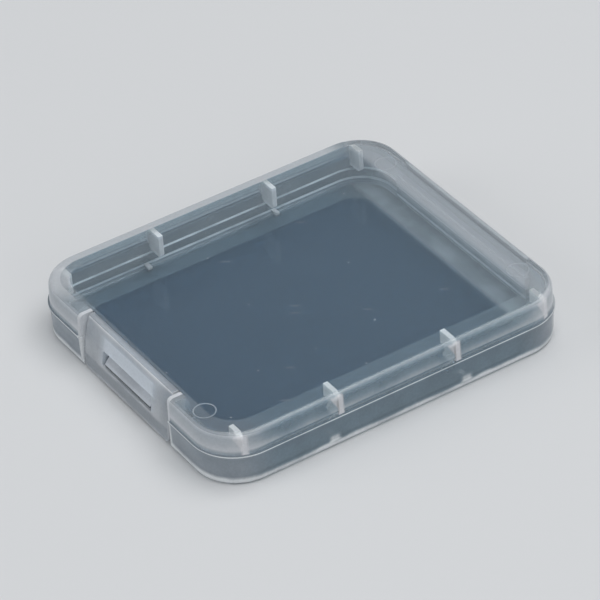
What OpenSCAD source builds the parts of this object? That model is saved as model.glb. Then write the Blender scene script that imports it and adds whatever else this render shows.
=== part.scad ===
// Case for one memory card: a shallow base tray and a lid, moulded in one shot with the thin web
// that hinges them along the back. A springy tab on the front of the lid snaps over a wedge on the
// front wall of the base. X runs across the case, Y from the latch at -Y to the hinge at +Y, Z up.
// The origin is the middle of the face the case rests on. The case is drawn shut.

/* [Case] */
// Overall width, over the rim bead
case_width = 44; // [40:0.5:60]
// Overall length, over the rim bead
case_length = 51; // [46:0.5:72]
// Overall height, shut
case_height = 7.5; // [6.5:0.1:12]
// Height of the base tray, up to the parting line
base_height = 4.4; // [3.9:0.1:5.5]
// Corner radius of the outline, over the rim bead
corner_radius = 6.1; // [4.5:0.1:8]

/* [Walls] */
// Thickness of the floor of the base
floor_thickness = 0.9; // [0.6:0.05:1.2]
// Thickness of the top of the lid
top_thickness = 0.9; // [0.6:0.05:1.2]
// Thickness of the lid's side wall at the parting line
lid_wall = 0.8; // [0.6:0.05:1.1]
// Thickness of the base's side wall below the step inside it, where it is thickest
base_wall = 0.93; // [0.8:0.01:1.2]
// How far the step inside the base's wall lies below the parting line
step_drop = 1.6; // [1.2:0.1:2.2]
// How far the side walls lean in from the parting line to the outer faces
wall_lean = 0.1; // [0:0.01:0.2]
// Radius of the edge round the underside
bottom_fillet = 0.6; // [0.3:0.05:0.8]
// Radius of the edge round the top
top_fillet = 0.7; // [0.3:0.05:0.9]
// Radius of the inside edge round the floor
floor_fillet = 0.6; // [0.2:0.05:0.7]
// Radius of the inside edge under the top
inner_fillet = 0.4; // [0.2:0.05:0.6]

/* [Parting line] */
// How far the bead round the base's rim stands out
bead_depth = 0.17; // [0.1:0.01:0.3]
// Height of the bead round the base's rim
bead_height = 0.45; // [0.3:0.05:0.8]
// Gap between the rims of the base and the shut lid
parting_gap = 0.05; // [0.02:0.01:0.15]
// How far the lid's wall lies inside the face of the base's
lid_set_in = 0.03; // [0:0.01:0.1]

/* [Ribs] */
// Clear width between the ribs, which hold the card's two long edges
card_gap = 36.9; // [34:0.1:46]
// Distance from the middle of the case to the two inner ribs of each side
inner_rib_y = 8.4; // [5:0.1:12]
// Distance from the middle of the case to the two corner ribs of each side
corner_rib_y = 21.6; // [18:0.1:23]
// Thickness of a rib
rib_thickness = 0.65; // [0.4:0.05:1.2]
// How far the ribs reach below the parting line, into the base
rib_reach = 0.95; // [0.3:0.05:1.1]
// Lead-in cut off the outer foot of a rib
rib_lead = 0.45; // [0.2:0.05:0.7]
// Radius of the inner foot of a rib
rib_foot_radius = 0.5; // [0.2:0.05:0.9]
// Gap between the outer side of a rib and the base's wall above the step
rib_clearance = 0.15; // [0.1:0.01:0.25]
// Distance from the middle of the case to the nubs on the floor
nub_y = 9.5; // [7:0.1:13]
// Size of a nub across the case, along it and up
nub_size = [1.1, 0.6, 0.65];

/* [Latch] */
// Width of the notch that the tab hangs in
notch_width = 20; // [14:0.5:26]
// Radius of the outer edges of the notch
notch_edge_radius = 0.35; // [0.1:0.05:0.6]
// Gap at each side of the tab
tab_side_gap = 0.4; // [0.2:0.05:0.8]
// Thickness of the tab
tab_thickness = 0.8; // [0.6:0.05:1]
// How far the tab's foot lies inside the outline of the case
tab_inset = 0.3; // [0.2:0.05:0.6]
// Radius of the tab's outward curve, which stands upright at the foot
tab_curve = 23; // [20:0.5:40]
// Height of the tab's foot over the surface that the case stands on
tab_foot = 0.3; // [0.2:0.05:0.6]
// Radius of the tab's lower corners
tab_corner = 0.8; // [0.3:0.05:1.2]
// Radius of the edge where the tab's face meets the top
tab_top_radius = 0.35; // [0.1:0.05:0.7]
// Height of the gusset behind the tab's root
tab_gusset = 0.3; // [0.1:0.05:0.6]
// Width of the catch wedge
catch_width = 10.4; // [7:0.1:12]
// Height of the underside of the catch, at the wall
catch_bottom = 2.7; // [2.3:0.05:2.9]
// How much higher the underside of the catch lies at its tip, which lets a firm pull free it
catch_slope = 0.1; // [0:0.05:0.2]
// How far the catch reaches out over the tab's cross bar
catch_bite = 0.65; // [0.4:0.05:0.7]
// Height of the catch's blunt tip
catch_tip_height = 0.15; // [0.1:0.05:0.3]
// How far the top of the catch lies below the rim
catch_drop = 0.05; // [0:0.05:0.3]
// Gap between the catch and each edge of the window round it
window_gap = 0.4; // [0.3:0.05:0.6]
// Radius of the corners of the window
window_corner = 0.3; // [0.1:0.05:0.6]
// Gap between the catch and the cross bar under it, which the bar rises into as it swings out
catch_gap = 0.2; // [0.15:0.01:0.3]
// Gap between the tab and the base's front wall
tab_gap = 0.17; // [0.1:0.01:0.3]

/* [Hinge] */
// Width of the recess in both back walls
hinge_width = 26; // [12:0.5:28]
// How far both back walls are set in at the hinge
hinge_inset = 0.7; // [0.6:0.05:1]
// Thickness of the web
web_thickness = 0.25; // [0.2:0.01:0.35]
// Outer radius of the web's loop, shut
web_radius = 0.65; // [0.55:0.01:0.9]
// Gap at each end of the web
web_end_gap = 0.2; // [0.1:0.05:0.5]

/* [Marks] */
// Diameter of the ejector marks under the top
mark_diameter = 2.7; // [2:0.1:4]
// How far an ejector mark stands proud
mark_height = 0.06; // [0.03:0.01:0.1]
// Distance of an ejector mark from the middle of the case, across and along
mark_place = [14.3, 22.6];

/* [Hidden] */
$fn = 64;
// how far a cut runs past what it cuts
over = 1;
arc_steps = 8;
// points along an arc, from angle a to angle b
function arc(x, y, r, a, b) =
    [for (i = [0 : arc_steps]) let (t = a + (b - a) * i / arc_steps) [x + r * cos(t), y + r * sin(t)]];
// the corners of every outline in the case share these centres
centre_x = case_width / 2 - corner_radius;
centre_y = case_length / 2 - corner_radius;
// distances of the walls' faces from those centres
wall_r = corner_radius - bead_depth;
lid_r = wall_r - lid_set_in;
lid_inner_r = lid_r - lid_wall;
base_inner_r = wall_r - base_wall;
base_upper_r = max(base_inner_r, lid_inner_r + rib_clearance);
lid_bottom = base_height + parting_gap;
lid_ceiling = case_height - top_thickness;
step_z = base_height - step_drop;
// front wall and tab
front_y = -case_length / 2;
notch_x = notch_width / 2;
tab_x = notch_x - tab_side_gap;
tab_centre_y = front_y + tab_inset + tab_curve;
tab_inner_curve = tab_curve - tab_thickness;
function tab_outer_y(z) = tab_centre_y - sqrt(pow(tab_curve, 2) - pow(z - tab_foot, 2));
function tab_inner_y(z) = tab_centre_y - sqrt(pow(tab_inner_curve, 2) - pow(z - tab_foot, 2));
tab_root_y = tab_inner_y(case_height);
base_front_y = tab_inner_y(base_height) + tab_gap;
base_front_inner_y = base_front_y + base_wall;
catch_tip_y = tab_inner_y(catch_bottom) - catch_bite;
catch_top = base_height - catch_drop;
window_x = catch_width / 2 + window_gap;
window_bottom = catch_bottom - catch_gap;
window_top = catch_top + window_gap;
// back wall and hinge
hinge_x = hinge_width / 2;
hinge_y = case_length / 2 - hinge_inset;
hinge_z = base_height + parting_gap / 2;
recess_top = max(lid_ceiling - inner_fillet, hinge_z + web_radius + web_end_gap);
// profiles of the spaces inside the base and the lid
base_cavity = concat(
    [[0, floor_thickness]],
    arc(base_inner_r - floor_fillet, floor_thickness + floor_fillet, floor_fillet, -90, 0),
    [[base_inner_r, step_z],
     [base_upper_r, step_z],
     [base_upper_r, base_height + over],
     [0, base_height + over]]);
lid_cavity = concat(
    [[0, 0],
     [lid_inner_r, 0]],
    arc(lid_inner_r - inner_fillet, lid_ceiling - inner_fillet, inner_fillet, 0, 90),
    [[0, lid_ceiling]]);

// A solid whose edge has one outline all round: a profile of [distance from the corner centres,
// height] carried along the four sides and round the four corners.
module round_box(profile) {
    heights = [for (p = profile) p[1]];
    low = min(heights);
    for (side = [0 : 3]) {
        along = side % 2 == 0 ? centre_y : centre_x;
        across = side % 2 == 0 ? centre_x : centre_y;
        rotate(90 * side) {
            translate([across, along, 0])
                rotate([90, 0, 0])
                linear_extrude(2 * along)
                polygon(profile);
            translate([across, along, 0])
                rotate_extrude(angle = 90)
                polygon(profile);
        }
    }
    translate([-centre_x, -centre_y, low])
        cube([2 * centre_x, 2 * centre_y, max(heights) - low]);
}

// everything in front of the line y, out to half_width each side
module front_block(half_width, y, low, high) {
    translate([-half_width, front_y - over, low])
        cube([2 * half_width, y - front_y + over, high - low]);
}

// everything behind the line y, out to half_width each side
module back_block(half_width, y, low, high) {
    translate([-half_width, y, low])
        cube([2 * half_width, -front_y + over - y, high - low]);
}

// the notch in a front wall, its two outer edges rounded off
module notch_cut(y, low, high) {
    wall_face = front_y + bead_depth;
    translate([0, 0, low])
        linear_extrude(high - low) {
            translate([-notch_x, front_y - over])
                square([notch_width, y - front_y + over]);
            for (s = [-1, 1])
                difference() {
                    translate([s * notch_x + min(0, s * notch_edge_radius), front_y - over])
                        square([notch_edge_radius, wall_face - front_y + over + notch_edge_radius]);
                    translate([s * (notch_x + notch_edge_radius), wall_face + notch_edge_radius])
                        circle(notch_edge_radius);
                }
        }
}

module base_tray() {
    outer = concat(
        [[0, 0]],
        arc(wall_r - wall_lean - bottom_fillet, bottom_fillet, bottom_fillet, -90, 0),
        [[wall_r, base_height - bead_height],
         [corner_radius, base_height - bead_height + bead_depth],
         [corner_radius, base_height],
         [0, base_height]]);
    color("lightsteelblue")
        difference() {
            round_box(outer);
            difference() {
                round_box(base_cavity);
                front_block(notch_x + base_wall, base_front_inner_y, 0, base_height + 2 * over);
                back_block(hinge_x + base_wall, hinge_y - base_wall, 0, base_height + 2 * over);
            }
            notch_cut(base_front_y, -over, base_height + over);
            back_block(hinge_x, hinge_y, -over, base_height + over);
        }
}

// a long slope above, which the cross bar rides out over, and a nearly flat face below it to lock
module catch_wedge() {
    color("whitesmoke")
        translate([-catch_width / 2, 0, 0])
        rotate([90, 0, 90])
        linear_extrude(catch_width)
        polygon([[base_front_y, catch_bottom],
                 [catch_tip_y, catch_bottom + catch_slope],
                 [catch_tip_y, catch_bottom + catch_slope + catch_tip_height],
                 [base_front_y, catch_top]]);
}

// small blocks against the side walls, which the card lies on
module floor_nubs() {
    nub_x = centre_x + base_inner_r - nub_size[0];
    color("whitesmoke")
        intersection() {
            for (side = [0, 1], end = [-1, 1])
                mirror([side, 0, 0])
                    translate([nub_x, end * nub_y - nub_size[1] / 2, floor_thickness])
                    cube([nub_size[0] + over, nub_size[1], nub_size[2]]);
            round_box(base_cavity);
        }
}

// half a tube between the two recessed back walls
module hinge_web() {
    web_width = hinge_width - 2 * web_end_gap;
    color("gainsboro")
        translate([-web_width / 2, hinge_y, hinge_z])
        rotate([90, 0, 90])
        linear_extrude(web_width)
        difference() {
            circle(web_radius);
            circle(web_radius - web_thickness);
            translate([-over, -over])
                square([over, 2 * over]);
        }
}

module lid_shell() {
    lid_top_r = lid_r - wall_lean;
    outer = concat(
        [[0, lid_bottom],
         [lid_r, lid_bottom]],
        arc(lid_top_r - top_fillet, case_height - top_fillet, top_fillet, 0, 90),
        [[0, case_height]]);
    color("lightsteelblue") {
        difference() {
            round_box(outer);
            difference() {
                round_box(lid_cavity);
                front_block(notch_x + lid_wall, tab_root_y, lid_bottom - 2 * over, case_height);
                back_block(hinge_x + lid_wall, hinge_y - lid_wall, lid_bottom - 2 * over, case_height);
            }
            notch_cut(tab_root_y, lid_bottom - over, case_height + over);
            back_block(hinge_x, hinge_y, lid_bottom - over, recess_top);
        }
        for (x = [-1, 1], y = [-1, 1])
            translate([x * mark_place[0], y * mark_place[1], lid_ceiling - mark_height])
                cylinder(d = mark_diameter, h = mark_height);
    }
}

// one rib, standing out from the wall on the +X side
module rib() {
    low = base_height - rib_reach;
    tip = card_gap / 2;
    root = centre_x + lid_inner_r;
    translate([0, rib_thickness / 2, 0])
        rotate([90, 0, 0])
        linear_extrude(rib_thickness)
        polygon(concat(
            arc(tip + rib_foot_radius, low + rib_foot_radius, rib_foot_radius, 180, 270),
            [[root - rib_lead, low],
             [root, low + rib_lead],
             [root, lid_ceiling],
             [tip, lid_ceiling]]));
}

module rib_row() {
    intersection() {
        for (y = [-corner_rib_y, -inner_rib_y, inner_rib_y, corner_rib_y])
            translate([0, y, 0])
                rib();
        round_box(lid_cavity);
    }
}

module lid_ribs_right() {
    color("whitesmoke") rib_row();
}

module lid_ribs_left() {
    color("whitesmoke") mirror([1, 0, 0]) rib_row();
}

// curved flap with a window, whose lower bar hooks under the catch
module latch_tab() {
    root_z = lid_ceiling;
    steps = 12;
    heights = [for (i = [0 : steps]) tab_foot + (case_height - tab_foot) * i / steps];
    outer_top = case_height - tab_top_radius;
    face = [for (z = heights) if (z < outer_top) [tab_outer_y(z), z]];
    back = [for (i = [steps : -1 : 0]) if (heights[i] < root_z - tab_gusset) [tab_inner_y(heights[i]), heights[i]]];
    color("gainsboro")
        intersection() {
            translate([-tab_x, 0, 0])
                rotate([90, 0, 90])
                linear_extrude(2 * tab_x)
                polygon(concat(
                    face,
                    arc(tab_outer_y(outer_top) + tab_top_radius, outer_top, tab_top_radius, 180, 90),
                    [[tab_root_y, case_height],
                     [tab_root_y, root_z]],
                    back));
            rotate([90, 0, 0])
                linear_extrude(2 * case_length, center = true)
                difference() {
                    tab_face();
                    window_face();
                }
        }
}

// the tab seen from the front, [x, z]
module tab_face() {
    translate([-tab_x, tab_foot + tab_corner])
        square([2 * tab_x, case_height - tab_foot - tab_corner + over]);
    translate([-tab_x + tab_corner, tab_foot])
        square([2 * (tab_x - tab_corner), 2 * tab_corner]);
    for (s = [-1, 1])
        translate([s * (tab_x - tab_corner), tab_foot + tab_corner])
            circle(tab_corner);
}

// the window in the tab, [x, z]
module window_face() {
    translate([-window_x + window_corner, window_bottom])
        square([2 * (window_x - window_corner), window_top - window_bottom]);
    translate([-window_x, window_bottom + window_corner])
        square([2 * window_x, window_top - window_bottom - 2 * window_corner]);
    for (s = [-1, 1], z = [window_bottom + window_corner, window_top - window_corner])
        translate([s * (window_x - window_corner), z])
            circle(window_corner);
}

base_tray();
catch_wedge();
floor_nubs();
hinge_web();
lid_shell();
lid_ribs_left();
lid_ribs_right();
latch_tab();
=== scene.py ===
"""Looks of the memory card case: translucent plastic, a polished panel in a frosted frame."""
import math

import bmesh
import bpy
from mathutils import Matrix, Vector


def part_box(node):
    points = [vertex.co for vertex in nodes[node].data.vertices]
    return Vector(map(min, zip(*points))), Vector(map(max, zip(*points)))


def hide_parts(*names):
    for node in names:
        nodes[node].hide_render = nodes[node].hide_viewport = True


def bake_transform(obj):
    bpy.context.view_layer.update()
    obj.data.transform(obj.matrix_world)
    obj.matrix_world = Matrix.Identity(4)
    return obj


MM = 0.001

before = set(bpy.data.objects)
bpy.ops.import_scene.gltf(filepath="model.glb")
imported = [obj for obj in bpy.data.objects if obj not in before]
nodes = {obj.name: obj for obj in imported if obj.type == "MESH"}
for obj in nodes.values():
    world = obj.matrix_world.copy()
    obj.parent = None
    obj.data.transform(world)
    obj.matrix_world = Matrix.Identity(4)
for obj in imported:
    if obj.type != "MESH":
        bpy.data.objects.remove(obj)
scene = bpy.context.scene
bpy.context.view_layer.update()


# Sizes and places in mm, from the frame.


def box_mm(node):
    """The lowest and the highest corner of a CAD node."""
    return [[round(c / MM, 4) for c in corner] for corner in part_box(node)]


RIB_LOW, RIB_HIGH = box_mm("lid_ribs_right")
NUB_LOW, NUB_HIGH = box_mm("floor_nubs")
TAB_LOW, TAB_HIGH = box_mm("latch_tab")
WEB_LOW, WEB_HIGH = box_mm("hinge_web")

# The frame doesn't say these, so they repeat what part.scad says by the same names.
CORNER_RADIUS = 6.1
STEP_DROP = 1.6
INNER_RIB_Y = 8.4
RIB_THICKNESS = 0.65
NUB_SIZE = (1.1, 0.6, 0.65)
TAB_SIDE_GAP = 0.4
WEB_THICKNESS = 0.25
MARK_DIAMETER = 2.7
MARK_PLACE = (14.3, 22.6)

# Half the case's width, half its length, and its levels from the underside to the top.
HALF_X, HALF_Y, PARTING = box_mm("base_tray")[1]
FLOOR = NUB_LOW[2]
STEP = PARTING - STEP_DROP
LID_EDGE = box_mm("lid_shell")[0][2]
CEILING = RIB_HIGH[2]
TOP = box_mm("lid_shell")[1][2]
# The ribs and the nubs stand at these places along the long walls, and at minus these.
RIBS_Y = (INNER_RIB_Y, RIB_HIGH[1] - RIB_THICKNESS / 2)
NUBS_Y = NUB_HIGH[1] - NUB_SIZE[1] / 2
# The plane where the tab leaves the lid, half the tab's width and half the notch's.
ROOT_Y = TAB_HIGH[1]
TAB_X = TAB_HIGH[0]
NOTCH_X = TAB_X + TAB_SIDE_GAP
# About half a wall. What is nearer to the outline of the case is the outside of a wall.
SKIN = 0.45


# Camera, floor and light.


def camera():
    """The long lens of the photograph, with a slight roll round the line of sight."""
    azimuth = math.radians(59.0934)
    elevation = math.radians(36.7675)
    roll = math.radians(-4.0966)
    target = Vector((-4.977, 3.003, 0)) * MM
    distance = 501.9 * MM
    back = Vector((
        math.sin(azimuth) * math.cos(elevation),
        -math.cos(azimuth) * math.cos(elevation),
        math.sin(elevation),
    ))
    right = Vector((math.cos(azimuth), math.sin(azimuth), 0))
    up = back.cross(right)
    axes = (
        math.cos(roll) * right + math.sin(roll) * up,
        math.cos(roll) * up - math.sin(roll) * right,
        back,
    )
    data = bpy.data.cameras.new("camera")
    data.lens = 242.85
    data.sensor_width = 36
    data.clip_start = 0.01
    data.clip_end = 20
    obj = bpy.data.objects.new("camera", data)
    scene.collection.objects.link(obj)
    obj.matrix_world = Matrix.Translation(target + back * distance) @ Matrix(axes).transposed().to_4x4()
    scene.camera = obj


def softbox(name, place, size, power):
    """A square lamp at a place in metres, turned to the object."""
    data = bpy.data.lights.new(name, "AREA")
    data.size = size
    data.energy = power
    obj = bpy.data.objects.new(name, data)
    scene.collection.objects.link(obj)
    obj.location = place
    obj.rotation_mode = "QUATERNION"
    obj.rotation_quaternion = Vector(place).to_track_quat("Z", "Y")


def ground():
    """A plain pale floor, just under the case."""
    half = 4
    below = -0.03 * MM
    corners = [(x * half, y * half, below) for x, y in ((-1, -1), (1, -1), (1, 1), (-1, 1))]
    mesh = bpy.data.meshes.new("floor")
    mesh.from_pydata(corners, [], [(0, 1, 2, 3)])
    obj = bpy.data.objects.new("floor", mesh)
    scene.collection.objects.link(obj)
    material = bpy.data.materials.new("floor")
    material.use_nodes = True
    shader = material.node_tree.nodes["Principled BSDF"]
    shader.inputs["Base Color"].default_value = (0.64, 0.65, 0.66, 1)
    shader.inputs["Roughness"].default_value = 0.85
    mesh.materials.append(material)


def studio():
    """Soft light from above, the front and the side, with enough bounces for the clear walls."""
    scene.view_settings.view_transform = "Standard"
    scene.cycles.max_bounces = 20
    scene.cycles.transmission_bounces = 20
    scene.cycles.transparent_max_bounces = 24
    softbox("lamp_top", place=(0.12, 0.2, 0.95), size=0.9, power=7.2)
    softbox("lamp_front", place=(-0.35, -0.9, 0.45), size=0.6, power=2.2)
    softbox("lamp_side", place=(0.95, -0.1, 0.35), size=0.6, power=1.5)
    world = bpy.data.worlds.new("studio")
    scene.world = world
    world.use_nodes = True
    background = world.node_tree.nodes["Background"]
    background.inputs["Color"].default_value = (0.93, 0.96, 1.0, 1)
    background.inputs["Strength"].default_value = 0.32
    ground()


# Materials.


class Tree:
    """A material's nodes, built by short calls. A number or a socket may stand for any input."""

    def __init__(self, name):
        self.material = bpy.data.materials.new(name)
        self.material.use_nodes = True
        self.nodes = self.material.node_tree.nodes
        self.nodes.clear()

    def feed(self, socket, value):
        if isinstance(value, bpy.types.NodeSocket):
            self.material.node_tree.links.new(value, socket)
        elif value is not None:
            if isinstance(value, tuple) and len(value) < len(socket.default_value):
                value = (*value, 1)
            socket.default_value = value

    def node(self, kind, inputs=(), **settings):
        made = self.nodes.new(kind)
        for key, value in settings.items():
            setattr(made, key, value)
        for key, value in dict(inputs).items():
            self.feed(made.inputs[key], value)
        return made

    def math(self, operation, a, b=None, c=None, clamp=False):
        made = self.node("ShaderNodeMath", operation=operation, use_clamp=clamp)
        for socket, value in zip(made.inputs, (a, b, c)):
            self.feed(socket, value)
        return made.outputs[0]

    def magnitude(self, value):
        """The value without its sign."""
        return self.math("ABSOLUTE", value)

    def product(self, first, *others):
        for other in others:
            first = self.math("MULTIPLY", first, other)
        return first

    def highest(self, first, *others):
        for other in others:
            first = self.math("MAXIMUM", first, other)
        return first

    def ease(self, value, low, high, from_value=0.0, to_value=1.0):
        """Smooth step of value from low to high."""
        made = self.node("ShaderNodeMapRange", interpolation_type="SMOOTHSTEP")
        for key, number in (
            ("Value", value), ("From Min", low), ("From Max", high),
            ("To Min", from_value), ("To Max", to_value),
        ):
            self.feed(made.inputs[key], number)
        return made.outputs[0]

    def mix(self, share, a, b):
        """Mix of two colours."""
        made = self.node("ShaderNodeMix", data_type="RGBA")
        for socket, value in zip((made.inputs[0], made.inputs[6], made.inputs[7]), (share, a, b)):
            self.feed(socket, value)
        return made.outputs[2]

    def blend(self, share, a, b):
        """Mix of two numbers."""
        made = self.node("ShaderNodeMix", data_type="FLOAT")
        for socket, value in zip((made.inputs[0], made.inputs[2], made.inputs[3]), (share, a, b)):
            self.feed(socket, value)
        return made.outputs[0]

    def noise(self, place, scale, detail, roughness):
        """Noise of about one bump each 1/scale mm."""
        made = self.node(
            "ShaderNodeTexNoise",
            {"Vector": place, "Scale": scale, "Detail": detail, "Roughness": roughness},
        )
        return made.outputs["Fac"]

    def vector(self, operation, inputs):
        return self.node("ShaderNodeVectorMath", inputs, operation=operation).outputs[0]

    def point(self, at_rest):
        """The point on the object in mm: a bending piece keeps where its points were at rest."""
        if at_rest:
            found = self.node("ShaderNodeAttribute", attribute_name="rest_place").outputs["Vector"]
        else:
            found = self.node("ShaderNodeTexCoord").outputs["Object"]
        return self.vector("SCALE", {0: found, 3: 1000.0})

    def curve(self, value, stops):
        """A curve over 0..TOP through the stops (value, height), straight between them."""
        share = self.node("ShaderNodeMapRange", {"Value": value, "From Max": TOP}).outputs[0]
        made = self.node("ShaderNodeValToRGB", {"Fac": share})
        elements = made.color_ramp.elements
        while len(elements) < len(stops):
            elements.new(0.5)
        for element, (at, height) in zip(elements, stops):
            element.position = at / TOP
            element.color = (height, height, height, 1)
        return self.node("ShaderNodeSeparateColor", {0: made.outputs[0]}).outputs[0]


class Plastic(Tree):
    """Translucent plastic, part clear and part milky. haze is the milky share, body the milky
    colour and tint the clear one. The methods below change them by place. colour is called once,
    after those that whiten a wall and before those that paint over it."""

    refraction = 1.49

    def __init__(self, name, tint, white=(0.66, 0.68, 0.71), at_rest=False):
        super().__init__(name)
        self.place = self.point(at_rest)
        self.x, self.y, self.z = self.node("ShaderNodeSeparateXYZ", {0: self.place}).outputs
        self.cloud = self.ease(self.noise(self.place, 0.22, 3.0, 0.5), 0.3, 0.7, 0.88, 1.12)
        self.grain = self.noise(self.place, 3.2, 2.0, 0.6)
        self.end = self.ease(self.magnitude(self.y), HALF_Y - 9.0, HALF_Y - 2.5)
        self.past_edge = self.beyond(HALF_X, HALF_Y, CORNER_RADIUS)
        self.outside = self.math("GREATER_THAN", self.past_edge, -SKIN)
        self.front = self.math("LESS_THAN", self.y, ROOT_Y - 0.05)
        self.tint = tint
        self.white = white
        self.relief = 0.004
        self.laid_over = []

    def beyond(self, half_x, half_y, radius):
        """Distance outside a rounded rectangle in plan, negative within its rounded edge."""
        x = self.highest(self.math("SUBTRACT", self.magnitude(self.x), half_x - radius), 0.0)
        y = self.highest(self.math("SUBTRACT", self.magnitude(self.y), half_y - radius), 0.0)
        return self.math("SUBTRACT", self.length(x, y), radius)

    def length(self, x, y):
        squares = self.math("ADD", self.product(x, x), self.product(y, y))
        return self.math("SQRT", squares)

    def walls(self, inner, outer=None, ends=0.0, near_side=1.0, rough=(0.2, 0.2)):
        """Milky share up the inside and the outside of a wall, as lists of (z, share), and the
        roughness of both. ends makes the short sides milkier, and near_side scales the inside of
        the wall at +X. With no outer list, inner and the first roughness are for every face."""
        near = self.ease(self.x, HALF_X - 12.0, HALF_X - 3.0, 1.0, near_side)
        haze = self.product(self.curve(self.z, inner), near)
        self.roughness = rough[0]
        if outer:
            haze = self.blend(self.outside, haze, self.curve(self.z, outer))
            self.roughness = self.blend(self.outside, *rough)
        haze = self.product(haze, self.cloud)
        self.haze = self.blend(self.product(self.end, ends), haze, 1.0)

    def rib_strokes(self, root=0.8, facet=0.42):
        """Milky strokes on the long walls where a rib is joined to them: partly the thick joint, partly a
        painted highlight for the lit rib behind the wall. Through the wall at +X the side of the rib is
        painted too, as a lit facet that narrows downwards."""
        milk = 0.0
        slope = 0.58
        slant = self.math("MULTIPLY_ADD", self.z, slope, -slope * (PARTING - 0.1))
        near_wall = self.math("GREATER_THAN", self.x, 0.0)
        for at in [side * rib_y for rib_y in RIBS_Y for side in (-1.0, 1.0)]:
            apart = self.math("SUBTRACT", self.y, at)
            joint = self.ease(self.magnitude(apart), 0.2, 0.55, root, 0.0)
            # Painted highlight: the lit side of the rib, seen through the wall at +X only.
            seen = self.ease(self.math("ADD", apart, slant), 0.0, 0.5, 0.0, facet)
            seen = self.product(seen, self.ease(apart, 0.0, 0.4, 1.0, 0.0), near_wall)
            milk = self.highest(joint, seen, milk)
        on_wall = self.math("GREATER_THAN", self.magnitude(self.x), RIB_HIGH[0] - 0.4)
        milk = self.product(milk, on_wall, self.ease(self.z, TOP - 0.6, TOP - 0.2, 1.0, 0.2))
        self.haze = self.highest(self.haze, milk)
        share = self.ease(milk, 0.0, 0.34)
        self.tint = self.mix(share, self.tint, (0.88, 0.9, 0.92))
        self.laid_over.append((share, (0.72, 0.73, 0.76)))

    def nub_smudges(self, share=0.32):
        """Pale smudges low on the outside of the long walls, where a nub is behind."""
        away = self.magnitude(self.math("SUBTRACT", self.magnitude(self.y), NUBS_Y))
        smudge = self.product(
            self.ease(away, 0.3, 1.1, share, 0.0),
            self.ease(self.z, FLOOR - 0.2, FLOOR + 0.2),
            self.ease(self.z, FLOOR + 0.5, FLOOR + 1.3, 1.0, 0.0),
            self.outside,
        )
        self.haze = self.math("ADD", self.haze, smudge, clamp=True)
        self.laid_over.append((smudge, self.white))

    def strained_middle(self, half, low, high, share, colour):
        """The middle of the tab, within half of x = 0 and from low to high, whitened where it bows
        out over the wedge. The end at +X is clearer than the rest."""
        strain = self.product(
            self.ease(self.z, low, low + 0.3),
            self.ease(self.z, high - 0.5, high, 1.0, 0.0),
            self.ease(self.magnitude(self.x), half - 1.2, half + 1.0, share, 0.0),
        )
        faded = self.product(self.haze, self.ease(self.x, TAB_X - 2.8, TAB_X - 0.8, 1.0, 0.8))
        self.haze = self.highest(faded, strain)
        self.laid_over.append((self.ease(strain, 0.0, share), colour))

    def rear_wall(self, stops):
        """The wall at the back is milkier, by a list of (z, share)."""
        behind = self.ease(self.y, HALF_Y - 2.9, HALF_Y - 1.5)
        self.haze = self.highest(self.haze, self.product(behind, self.curve(self.z, stops)))
        self.laid_over.append((self.product(behind, 0.7), self.white))

    def colour(self, cool=(0.27, 0.36, 0.42), whitened=(0.35, 0.85)):
        """The milky colour goes from cool to white while the milky share goes through whitened, and
        is greyer near the ends."""
        self.cool = cool
        body = self.mix(self.product(self.end, 0.55), cool, (0.46, 0.48, 0.52))
        body = self.mix(self.ease(self.haze, *whitened), body, self.white)
        for share, colour in self.laid_over:
            body = self.mix(share, body, colour)
        self.body = body

    def painted_light_border(self, border, edge, rim, left, right):
        """The milky share of the lid's border, raised by painted light: a painted highlight along its
        edge, and painted brightening on the far rim, the front left corner and the back right corner."""
        border = self.math("ADD", border, self.ease(self.past_edge, -1.0, -0.6, 0.0, edge))
        far = self.math("SUBTRACT", self.product(self.y, 0.25), self.x)
        # Painted light: only the rim at -X is whitened, so that side reads lighter than the rim at +X.
        painted_far_rim = self.product(
            self.ease(self.past_edge, -2.3, -1.7),
            self.ease(far, 0.0, 12.0, 0.0, rim),
            self.ease(self.y, HALF_Y - 8.5, HALF_Y - 1.5, 1.0, 0.3),
        )
        painted_front_left = self.product(
            self.ease(self.x, 5.0 - HALF_X, 9.5 - HALF_X, 1.0, 0.0),
            self.ease(self.y, 3.0 - HALF_Y, 6.0 - HALF_Y, left, 0.0),
        )
        painted_back_right = self.product(
            self.ease(self.x, HALF_X - 6.5, HALF_X - 3.0),
            self.ease(self.y, HALF_Y - 7.0, HALF_Y - 4.0, 0.0, right),
        )
        return self.highest(border, painted_far_rim, painted_front_left, painted_back_right)

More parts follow.
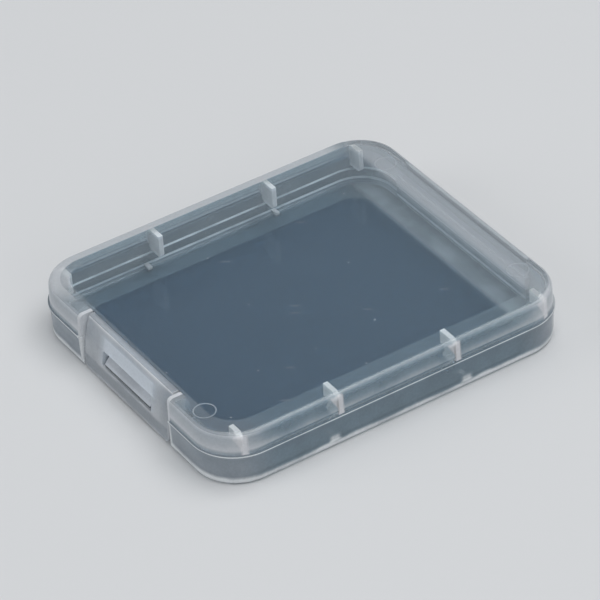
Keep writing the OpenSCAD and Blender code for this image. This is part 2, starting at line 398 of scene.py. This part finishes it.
    def plate(self, level, faces_up, panel, polished, frosted, painted_light=None):
        """The floor or the top: a polished panel with a frosted border. level tells the plate from
        the walls and faces_up its upper face, and panel is the panel's rounded rectangle. polished
        and frosted say how both look; polished also says how many times milkier, as a painted sheen,
        the panel is at the back right than at the front left. Both are milkier in a band along the back."""
        frost = self.product(self.ease(self.beyond(*panel), -0.08, 0.08), faces_up)
        band = self.product(
            self.ease(self.y, HALF_Y - 5.3, HALF_Y - 3.9, 0.0, 0.16),
            self.ease(self.y, HALF_Y - 3.1, HALF_Y - 1.3, 1.0, 0.5),
        )
        across = self.math("ADD", self.product(self.x, 0.5), self.y)
        # Painted sheen: the panel is milkier, so lighter, towards the back right.
        sheen_rise = self.ease(across, -30.0, 34.0, 1.0, polished["sheen_rise"])
        share = self.math("MULTIPLY_ADD", sheen_rise, polished["share"], band)
        border = self.product(self.math("ADD", band, frosted["share"]), self.cloud)
        if painted_light:
            border = self.painted_light_border(border, **painted_light)
        self.haze = self.blend(level, self.haze, self.blend(frost, share, border))
        border_body = self.mix(self.end, self.cool, frosted["colour"])
        border_body = self.mix(self.ease(border, 0.3, 0.65), border_body, self.white)
        at_back = self.ease(self.y, HALF_Y - 5.3, HALF_Y - 4.3)
        panel_body = self.mix(at_back, polished["colour"], self.white)
        self.body = self.mix(level, self.body, self.mix(frost, panel_body, border_body))
        plate_tint = self.mix(frost, polished["tint"], frosted["tint"])
        self.tint = self.mix(level, self.tint, plate_tint)
        plate_rough = self.blend(frost, polished["rough"], frosted["rough"])
        self.roughness = self.blend(level, self.roughness, plate_rough)
        self.relief = self.blend(level, self.relief, self.blend(frost, 0.0, 0.01))

    def rings(self, share=0.35):
        """Thin rings round the four ejector marks. The one in the milky front left corner fades."""
        across = self.math("SUBTRACT", self.magnitude(self.x), MARK_PLACE[0])
        along = self.math("SUBTRACT", self.magnitude(self.y), MARK_PLACE[1])
        away = self.math("SUBTRACT", self.length(across, along), MARK_DIAMETER / 2)
        ring = self.ease(self.magnitude(away), 0.04, 0.14, share, 0.0)
        return self.product(ring, self.ease(self.math("ADD", self.x, self.y), -36.0, -33.0))

    def wear(self):
        """Two kinds of tiny specks of dust, and a few hair scratches. Each kind has cells to the
        mm, their stretch and turn, the radius of a mark in its cell, the part of the cells that
        has one, and its milky share."""
        found = 0.0
        for scale, stretch, turn, radius, part, share in (
            (0.17, (1, 1, 0), 0.0, 0.028, 0.22, 0.4),
            (0.31, (1, 1, 0), 1.0, 0.03, 0.14, 0.3),
            (0.11, (1, 9, 0), 2.2, 0.12, 0.05, 0.22),
        ):
            turned = self.node(
                "ShaderNodeVectorRotate", {"Vector": self.place, "Angle": turn}, rotation_type="Z_AXIS"
            )
            spread = self.vector("MULTIPLY", {0: turned.outputs[0], 1: stretch})
            cells = self.node(
                "ShaderNodeTexVoronoi", {"Vector": spread, "Scale": scale}, voronoi_dimensions="2D"
            )
            chance = self.node("ShaderNodeSeparateColor", {0: cells.outputs["Color"]}).outputs[0]
            dot = self.ease(cells.outputs["Distance"], radius / 2, radius, share, 0.0)
            found = self.highest(self.product(dot, self.math("LESS_THAN", chance, part)), found)
        return found

    def marked(self, level, faces_up):
        """Rings under the plate, and dust and scratches on top of it."""
        under = self.product(level, self.math("LESS_THAN", self.z, TOP - 0.5))
        spot = self.highest(self.product(under, self.rings()), self.product(faces_up, self.wear()))
        self.haze = self.highest(self.haze, spot)
        self.body = self.mix(self.ease(spot, 0.0, 0.3), self.body, self.white)

    def cut_faces(self, x, reach):
        """White faces within reach of x and of minus x, in front of the tab's root."""
        cut = self.product(self.math("COMPARE", self.magnitude(self.x), x, reach), self.front)
        self.haze = self.highest(self.haze, self.product(cut, 0.8))
        self.body = self.mix(cut, self.body, self.white)

    def notch(self):
        """White ends of the front notch, and the milky front wall on both sides of it."""
        self.cut_faces(NOTCH_X + 0.2, 0.35)
        flank = self.ease(self.magnitude(self.x), NOTCH_X + 0.6, NOTCH_X + 4.6, 0.42, 0.0)
        self.haze = self.highest(self.haze, self.product(flank, self.front))

    def without_root(self, surface):
        """Leaves out the plane where the tab and the lid run into each other."""
        plane = self.math("COMPARE", self.y, ROOT_Y, 0.012)
        across = self.math("LESS_THAN", self.magnitude(self.x), TAB_X - 0.05)
        gone = self.node("ShaderNodeBsdfTransparent").outputs[0]
        inputs = {0: self.product(plane, across), 1: surface, 2: gone}
        return self.node("ShaderNodeMixShader", inputs).outputs[0]

    def finish(self, joined=False):
        """The shaders. A shadow ray goes straight through the clear share. It meets two faces of a
        wall, so each gives it the square root of the tint."""
        haze = self.math("MULTIPLY", self.haze, self.ease(self.grain, 0.25, 0.75, 0.95, 1.05), clamp=True)
        bump = self.node(
            "ShaderNodeBump", {"Height": self.grain, "Strength": self.relief, "Distance": 0.02 * MM}
        ).outputs[0]
        clear = self.node("ShaderNodeBsdfPrincipled", {
            "Base Color": self.tint, "Roughness": self.roughness, "Transmission Weight": 1.0,
            "IOR": self.refraction, "Normal": bump,
        }).outputs[0]
        milky = self.node("ShaderNodeBsdfPrincipled", {
            "Base Color": self.body, "Roughness": 0.45, "IOR": self.refraction, "Normal": bump,
        }).outputs[0]
        half_tint = self.node("ShaderNodeGamma", {"Color": self.tint, "Gamma": 0.5}).outputs[0]
        straight = self.node("ShaderNodeBsdfTransparent", {"Color": half_tint}).outputs[0]
        seen = self.node("ShaderNodeMixShader", {0: haze, 1: clear, 2: milky}).outputs[0]
        passed = self.node("ShaderNodeMixShader", {0: haze, 1: straight, 2: milky}).outputs[0]
        shadow = self.node("ShaderNodeLightPath").outputs["Is Shadow Ray"]
        surface = self.node("ShaderNodeMixShader", {0: shadow, 1: seen, 2: passed}).outputs[0]
        if joined:
            surface = self.without_root(surface)
        self.node("ShaderNodeOutputMaterial", {"Surface": surface})
        return self.material


def lid_plastic():
    skin = Plastic("lid_plastic", tint=(0.57, 0.63, 0.67))
    skin.walls(
        inner=[
            (LID_EDGE, 0.12), (LID_EDGE + 0.15, 0.06), (5.2, 0.03), (5.8, 0.06), (6.05, 0.04),
            (CEILING - 0.4, 0.1), (CEILING - 0.1, 0.12), (TOP, 0.2),
        ],
        # Outside, the share rising near the top is a painted highlight along the rounded top edge.
        outer=[
            (LID_EDGE, 0.08), (LID_EDGE + 0.3, 0.16), (5.15, 0.6), (5.9, 0.43), (TOP - 0.7, 0.33),
            (TOP - 0.45, 0.38), (TOP - 0.25, 0.46), (TOP, 0.46),
        ],
        ends=0.43, rough=(0.08, 0.12),
    )
    skin.rib_strokes()
    skin.rear_wall([(PARTING, 0.55), (6.0, 0.6), (TOP, 0.4)])
    skin.colour(cool=(0.3, 0.41, 0.475))
    above = skin.math("GREATER_THAN", skin.z, CEILING - 0.1)
    level = skin.product(above, skin.math("LESS_THAN", skin.past_edge, -SKIN))
    faces_up = skin.math("GREATER_THAN", skin.z, TOP - 0.3)
    skin.plate(
        level, faces_up, panel=(HALF_X - 2.95, HALF_Y - 2.7, CORNER_RADIUS - 2.2),
        polished={
            "share": 0.02, "sheen_rise": 2.6, "colour": (0.22, 0.32, 0.4), "tint": (0.8, 0.86, 0.9),
            "rough": 0.03,
        },
        frosted={
            "share": 0.19, "colour": (0.42, 0.46, 0.49), "tint": (0.85, 0.9, 0.92), "rough": 0.08,
        },
        # Painted light on the border: a highlight along its edge, and brightening on the far rim and two
        # corners.
        painted_light={"edge": 0.26, "rim": 0.6, "left": 0.5, "right": 0.2},
    )
    skin.marked(level, faces_up)
    skin.notch()
    return skin.finish(joined=True)


def base_plastic():
    skin = Plastic("base_plastic", tint=(0.44, 0.48, 0.5), white=(0.74, 0.77, 0.79))
    skin.walls(
        # Inside, the near-white lines where the wall curves into the floor and at the step are painted
        # highlights on those edges.
        inner=[
            (0.0, 0.4), (FLOOR, 0.5), (FLOOR + 0.1, 0.2), (FLOOR + 0.3, 0.2), (FLOOR + 0.45, 0.9),
            (FLOOR + 0.72, 0.9), (FLOOR + 0.85, 0.03), (STEP - 0.1, 0.03), (STEP - 0.04, 0.95),
            (STEP + 0.04, 0.95), (STEP + 0.15, 0.06), (STEP + 0.8, 0.08), (PARTING - 0.1, 0.2),
        ],
        # Outside, the white line just under the parting is a painted highlight on the rim's edge.
        outer=[
            (0.0, 0.97), (FLOOR - 0.25, 0.95), (FLOOR + 0.05, 0.74), (FLOOR + 0.35, 0.55), (2.3, 0.53),
            (PARTING - 0.6, 0.47), (PARTING - 0.2, 0.55), (PARTING - 0.14, 1.0), (PARTING - 0.03, 1.0),
            (PARTING, 0.35),
        ],
        ends=0.14, near_side=0.5, rough=(0.1, 0.12),
    )
    skin.nub_smudges()
    skin.rear_wall([(FLOOR, 0.4), (STEP - 0.1, 0.4), (STEP + 0.05, 0.62), (PARTING, 0.62)])
    skin.colour(cool=(0.22, 0.3, 0.36), whitened=(0.6, 0.95))
    below = skin.math("LESS_THAN", skin.z, FLOOR + 0.06)
    level = skin.product(below, skin.math("LESS_THAN", skin.past_edge, -1.6))
    faces_up = skin.math("GREATER_THAN", skin.z, FLOOR - 0.4)
    skin.plate(
        level, faces_up, panel=(HALF_X - 4.2, HALF_Y - 4.3, CORNER_RADIUS - 2.5),
        polished={
            "share": 0.1, "sheen_rise": 1.55, "colour": (0.1, 0.15, 0.2), "tint": (0.24, 0.32, 0.395),
            "rough": 0.08,
        },
        frosted={
            "share": 0.26, "colour": (0.46, 0.48, 0.49), "tint": (0.42, 0.47, 0.49), "rough": 0.25,
        },
    )
    skin.notch()
    return skin.finish()


def rib_plastic():
    """Whitest along the foot and the top of a rib: painted highlights on its edges, and at the top also
    the thick joint to the ceiling.
    """
    foot = RIB_LOW[2]
    skin = Plastic("rib_plastic", tint=(0.9, 0.92, 0.93), white=(1.0, 0.98, 0.97))
    # The white ends of this list are painted highlights on the rib's foot and top.
    skin.walls([
        (foot, 1.0), (foot + 0.3, 0.95), (foot + 0.5, 0.76), (CEILING - 0.5, 0.76),
        (CEILING - 0.3, 0.97), (CEILING, 1.0),
    ])
    skin.colour(whitened=(0.2, 0.6))
    return skin.finish()


def nub_plastic():
    skin = Plastic("nub_plastic", tint=(0.85, 0.87, 0.88), white=(0.78, 0.77, 0.77))
    skin.walls([(FLOOR, 0.2), (FLOOR + 0.3, 0.35), (FLOOR + 0.55, 0.7), (FLOOR + 0.8, 0.7)])
    skin.colour(whitened=(0.1, 0.5))
    return skin.finish()


def catch_plastic():
    """Clear under the wedge's tip, so that band shows as a dark line of painted shade; white on the tip,
    a painted highlight along its lip; milky up its slope.
    """
    low = box_mm("catch_wedge")[0][2]
    skin = Plastic("catch_plastic", tint=(0.5, 0.55, 0.6), white=(0.5, 0.535, 0.58))
    # Painted shade and light: the clear band under the tip shows dark, and the white band on the tip is a
    # painted highlight.
    skin.walls([
        (low, 0.1), (low + 0.27, 0.1), (low + 0.3, 0.98), (low + 0.5, 0.98), (low + 0.65, 0.86),
        (PARTING, 0.86),
    ])
    skin.colour(whitened=(0.2, 0.6))
    return skin.finish()


def tab_plastic():
    """Milky all over in front of its root, and milkier and paler in the middle; the white line just under
    its top is a painted highlight along the top edge.
    """
    low = TAB_LOW[2]
    skin = Plastic("tab_plastic", tint=(0.8, 0.84, 0.87), at_rest=True)
    skin.walls(
        [
            (low, 0.7), (low + 0.25, 0.6), (low + 0.6, 0.36), (2.0, 0.36), (2.45, 0.6), (4.8, 0.52),
            # The near-white share just under the top is a painted highlight along the top edge.
            (5.4, 0.48), (6.6, 0.52), (TOP - 0.5, 0.56), (TOP - 0.3, 0.66), (TOP - 0.12, 0.95),
            (TOP - 0.06, 0.22), (TOP, 0.1),
        ],
        rough=(0.15, 0.15),
    )
    skin.strained_middle(half=6.2, low=2.5, high=6.9, share=0.74, colour=(0.655, 0.71, 0.77))
    skin.colour(cool=(0.42, 0.48, 0.52))
    skin.cut_faces(TAB_X + 0.02, 0.07)
    skin.haze = skin.highest(skin.haze, skin.product(skin.front, 0.42))
    return skin.finish(joined=True)


def web_plastic():
    """Whitened round its middle, where it was creased."""
    skin = Plastic("web_plastic", tint=(0.7, 0.75, 0.78), at_rest=True)
    skin.walls([(3.7, 0.45), (4.2, 0.7), (4.6, 0.7), (5.1, 0.45)])
    skin.colour(cool=(0.4, 0.44, 0.47))
    return skin.finish()


# Pieces.


def dress(obj, material):
    obj.data.materials.clear()
    obj.data.materials.append(material)


def piece(name, bm, material, node):
    """A new piece that stands for a CAD node, shaded smooth across edges of up to 32 degrees. It
    keeps where its points were at rest."""
    crease = math.radians(32)
    for face in bm.faces:
        face.smooth = True
    for edge in bm.edges:
        if len(edge.link_faces) == 2 and edge.calc_face_angle() > crease:
            edge.smooth = False
    mesh = bpy.data.meshes.new(name)
    bm.to_mesh(mesh)
    bm.free()
    kept = mesh.attributes.new("rest_place", "FLOAT_VECTOR", "POINT")
    kept.data.foreach_set("vector", [c for v in mesh.vertices for c in v.co])
    obj = bpy.data.objects.new(name, mesh)
    scene.collection.objects.link(obj)
    dress(obj, material)
    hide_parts(node)
    return obj


def put_in_order(parts, place):
    """Sorts the points or faces of a mesh by where they are, so that each run gives the same list."""
    for index, part in enumerate(sorted(parts, key=place)):
        part.index = index
    parts.sort()


def latch():
    """The tab of the CAD with its edges eased, cut into strips along its height and left open where it
    meets the lid.
    """
    root = ROOT_Y * MM
    near = 0.01 * MM
    bm = bmesh.new()
    bm.from_mesh(nodes["latch_tab"].data)
    bmesh.ops.remove_doubles(bm, verts=bm.verts, dist=0.002 * MM)
    bmesh.ops.dissolve_limit(bm, angle_limit=math.radians(0.5), verts=bm.verts, edges=bm.edges)
    sharp = [
        e for e in bm.edges
        if len(e.link_faces) == 2 and e.calc_face_angle() > math.radians(40)
        and min(abs(v.co.y - root) for v in e.verts) > near
    ]
    bmesh.ops.bevel(
        bm, geom=sharp, offset=0.07 * MM, offset_type="OFFSET", segments=2, profile=0.5,
        affect="EDGES", clamp_overlap=True,
    )
    strips = 26
    low = TAB_LOW[2]
    for step in range(1, strips):
        height = (low + (TOP - low) * step / strips) * MM
        bmesh.ops.bisect_plane(
            bm, geom=list(bm.verts) + list(bm.edges) + list(bm.faces), dist=1e-8,
            plane_co=(0, 0, height), plane_no=(0, 0, 1),
        )
    joined = [f for f in bm.faces if f.normal.y > 0.99 and abs(f.calc_center_median().y - root) < near]
    bmesh.ops.delete(bm, context="FACES_ONLY", geom=joined)
    put_in_order(bm.verts, lambda v: v.co[:])
    put_in_order(bm.faces, lambda f: f.calc_center_median()[:])
    obj = piece("latch_tab_shown", bm, tab_plastic(), "latch_tab")
    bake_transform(obj)


def web():
    """Half a tube across the back, thinner round its middle, where it was creased."""
    half = WEB_HIGH[0]
    centre_y = WEB_LOW[1]
    centre_z = (WEB_LOW[2] + WEB_HIGH[2]) / 2
    radius = (WEB_HIGH[2] - WEB_LOW[2]) / 2
    rings = 32
    columns = 60
    turns = [math.pi * (i / rings - 0.5) for i in range(rings + 1)]
    creased = [(turn, math.exp(-((turn / 0.5) ** 2))) for turn in turns]
    outside = [(radius - 0.035 * crease, turn) for turn, crease in creased]
    inside = [(radius - WEB_THICKNESS + 0.02 * crease, turn) for turn, crease in reversed(creased)]
    section = [
        (centre_y + r * math.cos(turn), centre_z + r * math.sin(turn)) for r, turn in outside + inside
    ]
    bm = bmesh.new()
    rows = []
    for j in range(columns + 1):
        x = -half + 2 * half * j / columns
        rows.append([bm.verts.new(Vector((x, y, z)) * MM) for y, z in section])
    count = len(section)
    for left, right in zip(rows, rows[1:]):
        for i in range(count):
            bm.faces.new((left[i], left[(i + 1) % count], right[(i + 1) % count], right[i]))
    for row in (rows[0], rows[-1]):
        for i in range(rings):
            bm.faces.new((row[i], row[i + 1], row[count - 2 - i], row[count - 1 - i]))
    bmesh.ops.recalc_face_normals(bm, faces=bm.faces)
    obj = piece("hinge_web_shown", bm, web_plastic(), "hinge_web")
    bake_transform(obj)


camera()
studio()
ribs = rib_plastic()
for node, material in (
    ("lid_shell", lid_plastic()),
    ("base_tray", base_plastic()),
    ("lid_ribs_left", ribs),
    ("lid_ribs_right", ribs),
    ("catch_wedge", catch_plastic()),
    ("floor_nubs", nub_plastic()),
):
    dress(nodes[node], material)
latch()
web()
